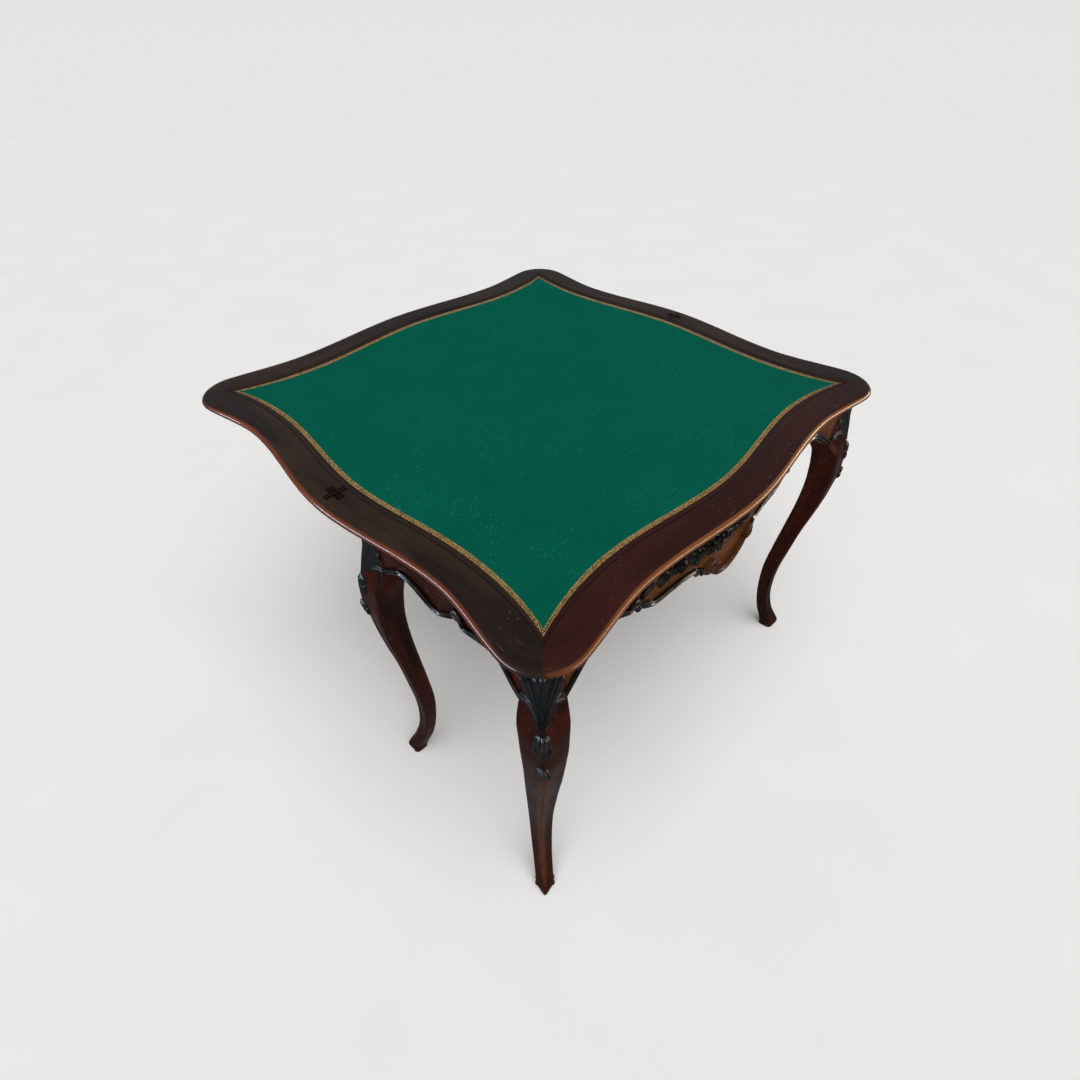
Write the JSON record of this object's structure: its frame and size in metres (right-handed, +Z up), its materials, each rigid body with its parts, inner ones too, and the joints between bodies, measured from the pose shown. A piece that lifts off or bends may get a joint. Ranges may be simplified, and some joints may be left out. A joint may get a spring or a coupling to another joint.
{
  "type": "folding card table",
  "caption": "Serpentine card table opened for play: baize leaves hinged at the middle, cabriole legs, carved apron and a swinging gate leg under the far leaf.",
  "frame": {"origin": "on the floor under the middle of the seam between the leaves, at the bottom centre of the open table's box", "axes": "+Z up, +X along the seam and the carved front apron towards the right, the carved apron faces -Y, the far leaf lies at +Y"},
  "size_m": [0.936, 0.915, 0.7317],
  "materials": {
    "polished_wood": "French-polished dark red-brown rosewood, glossy",
    "ebonised_wood": "ebonised carved wood, waxed to a soft gloss",
    "inner_timber": "plain oak, unpolished",
    "baize": "green wool baize, matt nap",
    "gilt_leather": "leather band tooled in gold",
    "brass": "aged brass",
    "steel": "dull steel"
  },
  "bodies": {
    "base": {"corner_blocks": "inner_timber", "cross_bearer": "inner_timber", "fixed_back_rail": "inner_timber", "front_apron": "polished_wood", "front_left_acanthus": "ebonised_wood", "front_left_husks": "ebonised_wood", "front_left_leg": "polished_wood", "front_moulding": "ebonised_wood", "front_right_acanthus": "ebonised_wood", "front_right_husks": "ebonised_wood", "front_right_leg": "polished_wood", "garland_flowers": "ebonised_wood", "garland_leaves": "ebonised_wood", "garland_rose": "ebonised_wood", "gate_pin": "steel", "hinge_pins": "steel", "inner_back_rail": "inner_timber", "leaf_screws": "steel", "left_apron": "polished_wood", "left_hinge_near_plate": "brass", "left_moulding": "ebonised_wood", "near_baize": "baize", "near_hinge_screws": "brass", "near_leather_band": "gilt_leather", "near_panel": "polished_wood", "near_rim_front": "polished_wood", "near_rim_left": "polished_wood", "near_rim_right": "polished_wood", "rail_screws": "steel", "rear_left_acanthus": "ebonised_wood", "rear_left_husks": "ebonised_wood", "rear_left_leg": "polished_wood", "right_apron": "polished_wood", "right_hinge_near_plate": "brass", "right_moulding": "ebonised_wood"},
    "far_leaf": {"far_baize": "baize", "far_hinge_screws": "brass", "far_leather_band": "gilt_leather", "far_panel": "polished_wood", "far_rim_back": "polished_wood", "far_rim_left": "polished_wood", "far_rim_right": "polished_wood", "left_hinge_far_plate": "brass", "right_hinge_far_plate": "brass"},
    "gate": {"fly_rail": "inner_timber", "gate_acanthus": "ebonised_wood", "gate_husks": "ebonised_wood", "gate_leg": "polished_wood"}
  },
  "joints": [
    {"name": "leaf_fold", "type": "hinge", "parent": "base", "child": "far_leaf", "pos_m": [0, 0, 0.7302], "axis": [1, 0, 0], "range_deg": [0, 180]},
    {"name": "gate_swing", "type": "hinge", "parent": "base", "child": "gate", "pos_m": [0.03, -0.082, 0.662], "axis": [0, 0, 1], "range_deg": [-90, 0]}
  ]
}
